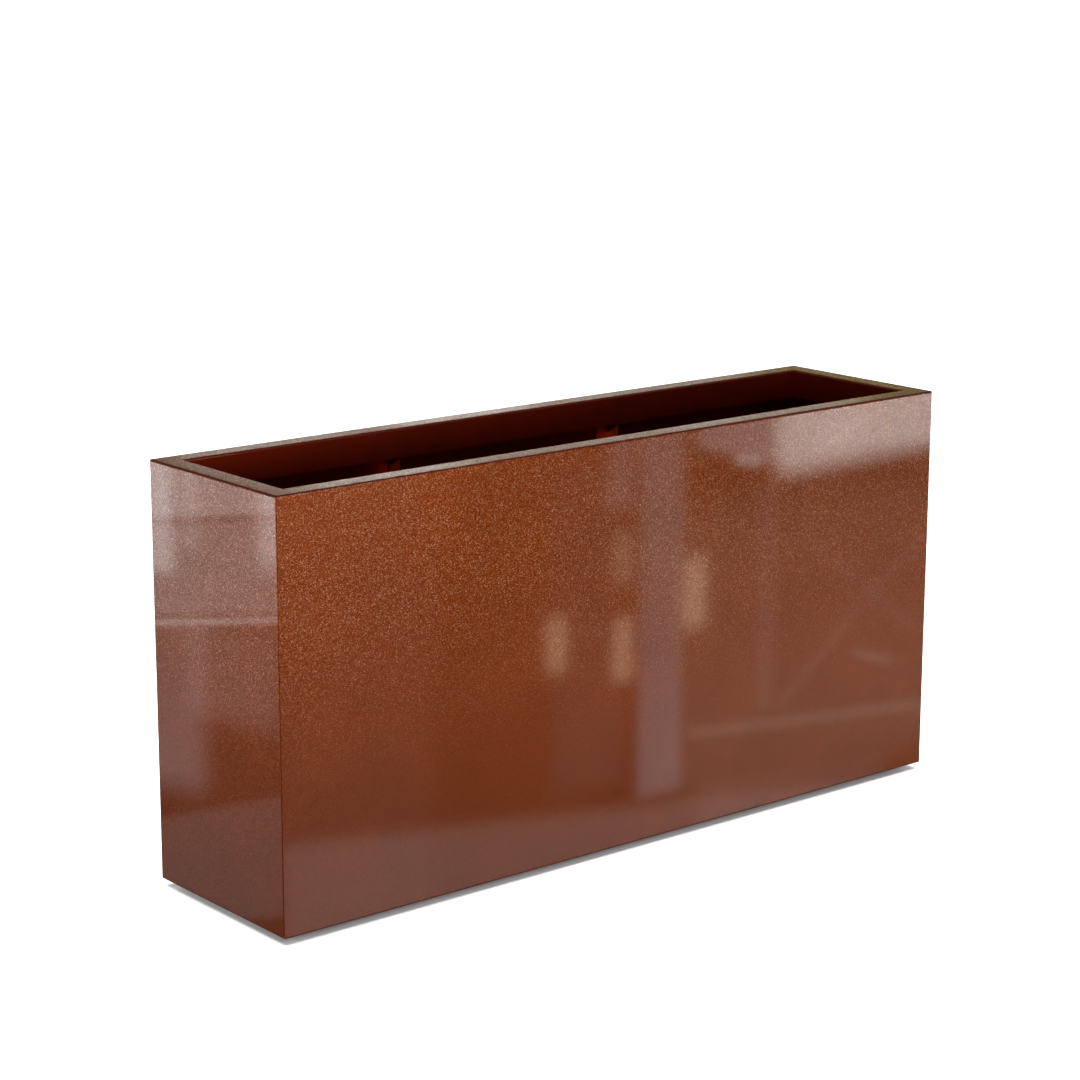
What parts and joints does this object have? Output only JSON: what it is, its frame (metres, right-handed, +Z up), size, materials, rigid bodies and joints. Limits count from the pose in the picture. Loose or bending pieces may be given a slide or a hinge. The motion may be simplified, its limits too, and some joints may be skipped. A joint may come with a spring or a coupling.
{
  "type": "planter box",
  "caption": "Long narrow rectangular planter box of folded sheet metal with a flat rim, inner lip, stiffening ribs, cross ties, drained floor and low levelling feet.",
  "frame": {"origin": "centre of the footprint at floor level, under the six foot pads", "axes": "+X along the length from the left end to the right end, +Y from the front wall to the rear wall, +Z up"},
  "size_m": [1.2, 0.3, 0.6],
  "materials": {
    "powder_coat": "glossy copper-brown powder coat with fine metallic flake",
    "zinc_plate": "bright zinc plate",
    "foot_rubber": "matt black moulded rubber"
  },
  "bodies": {
    "root": {"base_bearer_centre": "powder_coat", "base_bearer_left": "powder_coat", "base_bearer_right": "powder_coat", "base_plate": "powder_coat", "cross_tie_left": "powder_coat", "cross_tie_right": "powder_coat", "foot_front_centre": "foot_rubber", "foot_front_left": "foot_rubber", "foot_front_right": "foot_rubber", "foot_jam_nuts": "zinc_plate", "foot_rear_centre": "foot_rubber", "foot_rear_left": "foot_rubber", "foot_rear_right": "foot_rubber", "foot_studs": "zinc_plate", "foot_weld_nuts": "powder_coat", "front_panel": "powder_coat", "front_rib_left": "powder_coat", "front_rib_right": "powder_coat", "left_end_panel": "powder_coat", "rear_panel": "powder_coat", "rear_rib_left": "powder_coat", "rear_rib_right": "powder_coat", "right_end_panel": "powder_coat", "tie_bolts": "zinc_plate", "tie_nuts": "zinc_plate", "tie_washers": "zinc_plate"}
  },
  "joints": []
}
